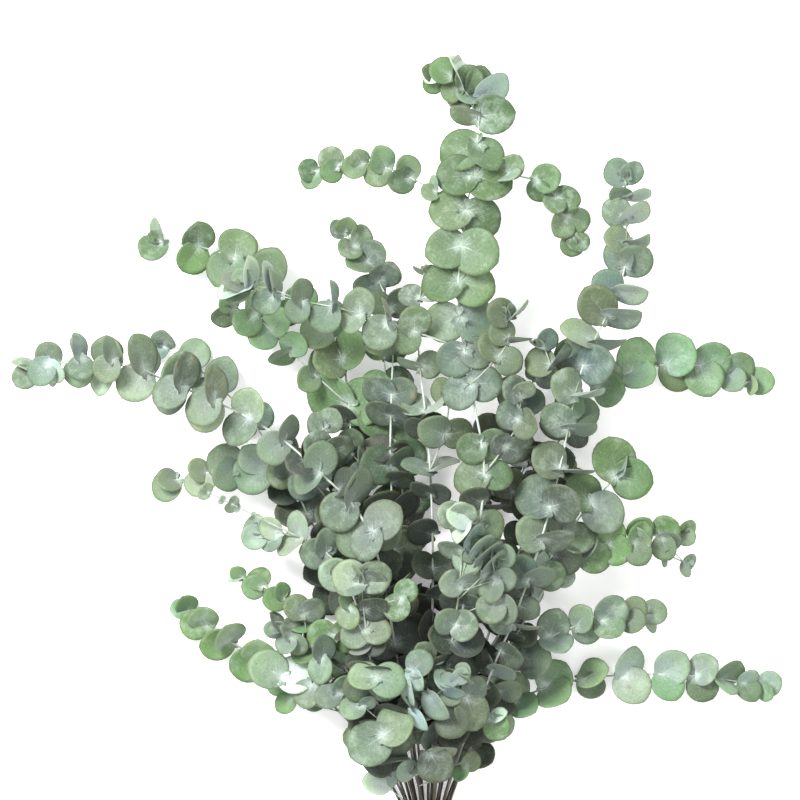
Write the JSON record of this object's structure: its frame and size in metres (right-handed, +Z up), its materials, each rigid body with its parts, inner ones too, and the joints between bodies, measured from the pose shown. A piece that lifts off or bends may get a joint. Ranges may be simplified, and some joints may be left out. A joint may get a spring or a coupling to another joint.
{
  "type": "eucalyptus bunch",
  "caption": "Loose bunch of long eucalyptus stems with round grey-green leaves, laid flat and fanning out from its gathered cut ends.",
  "frame": {"origin": "centre of the bounding box in plan, on the surface that the bunch lies on", "axes": "+Y from the gathered cut ends towards the crown, +Z up from the surface, +X to the right as seen from above with the crown away from the viewer"},
  "size_m": [0.7746, 0.7984, 0.1284],
  "materials": {
    "leaf": "waxy matte",
    "bark": "matte"
  },
  "bodies": {
    "root": {"stem_crown": "leaf", "stem_right_tall": "leaf", "stem_far_left": "leaf", "stem_left_inner": "leaf", "stem_low_front": "leaf", "stem_short_front": "leaf", "stem_middle_front": "leaf", "stem_left_low": "leaf", "stem_upper_inner": "leaf", "stem_thin_inner": "leaf", "stem_right_pair": "leaf", "stem_right": "leaf", "stem_right_low": "leaf", "stem_small_left": "leaf", "stem_low_left": "leaf", "stem_left_back": "leaf", "stem_upper_left": "leaf", "stem_back_green": "leaf", "stem_back_centre": "leaf", "stem_far_right": "leaf", "stem_low_right": "leaf"}
  },
  "joints": []
}
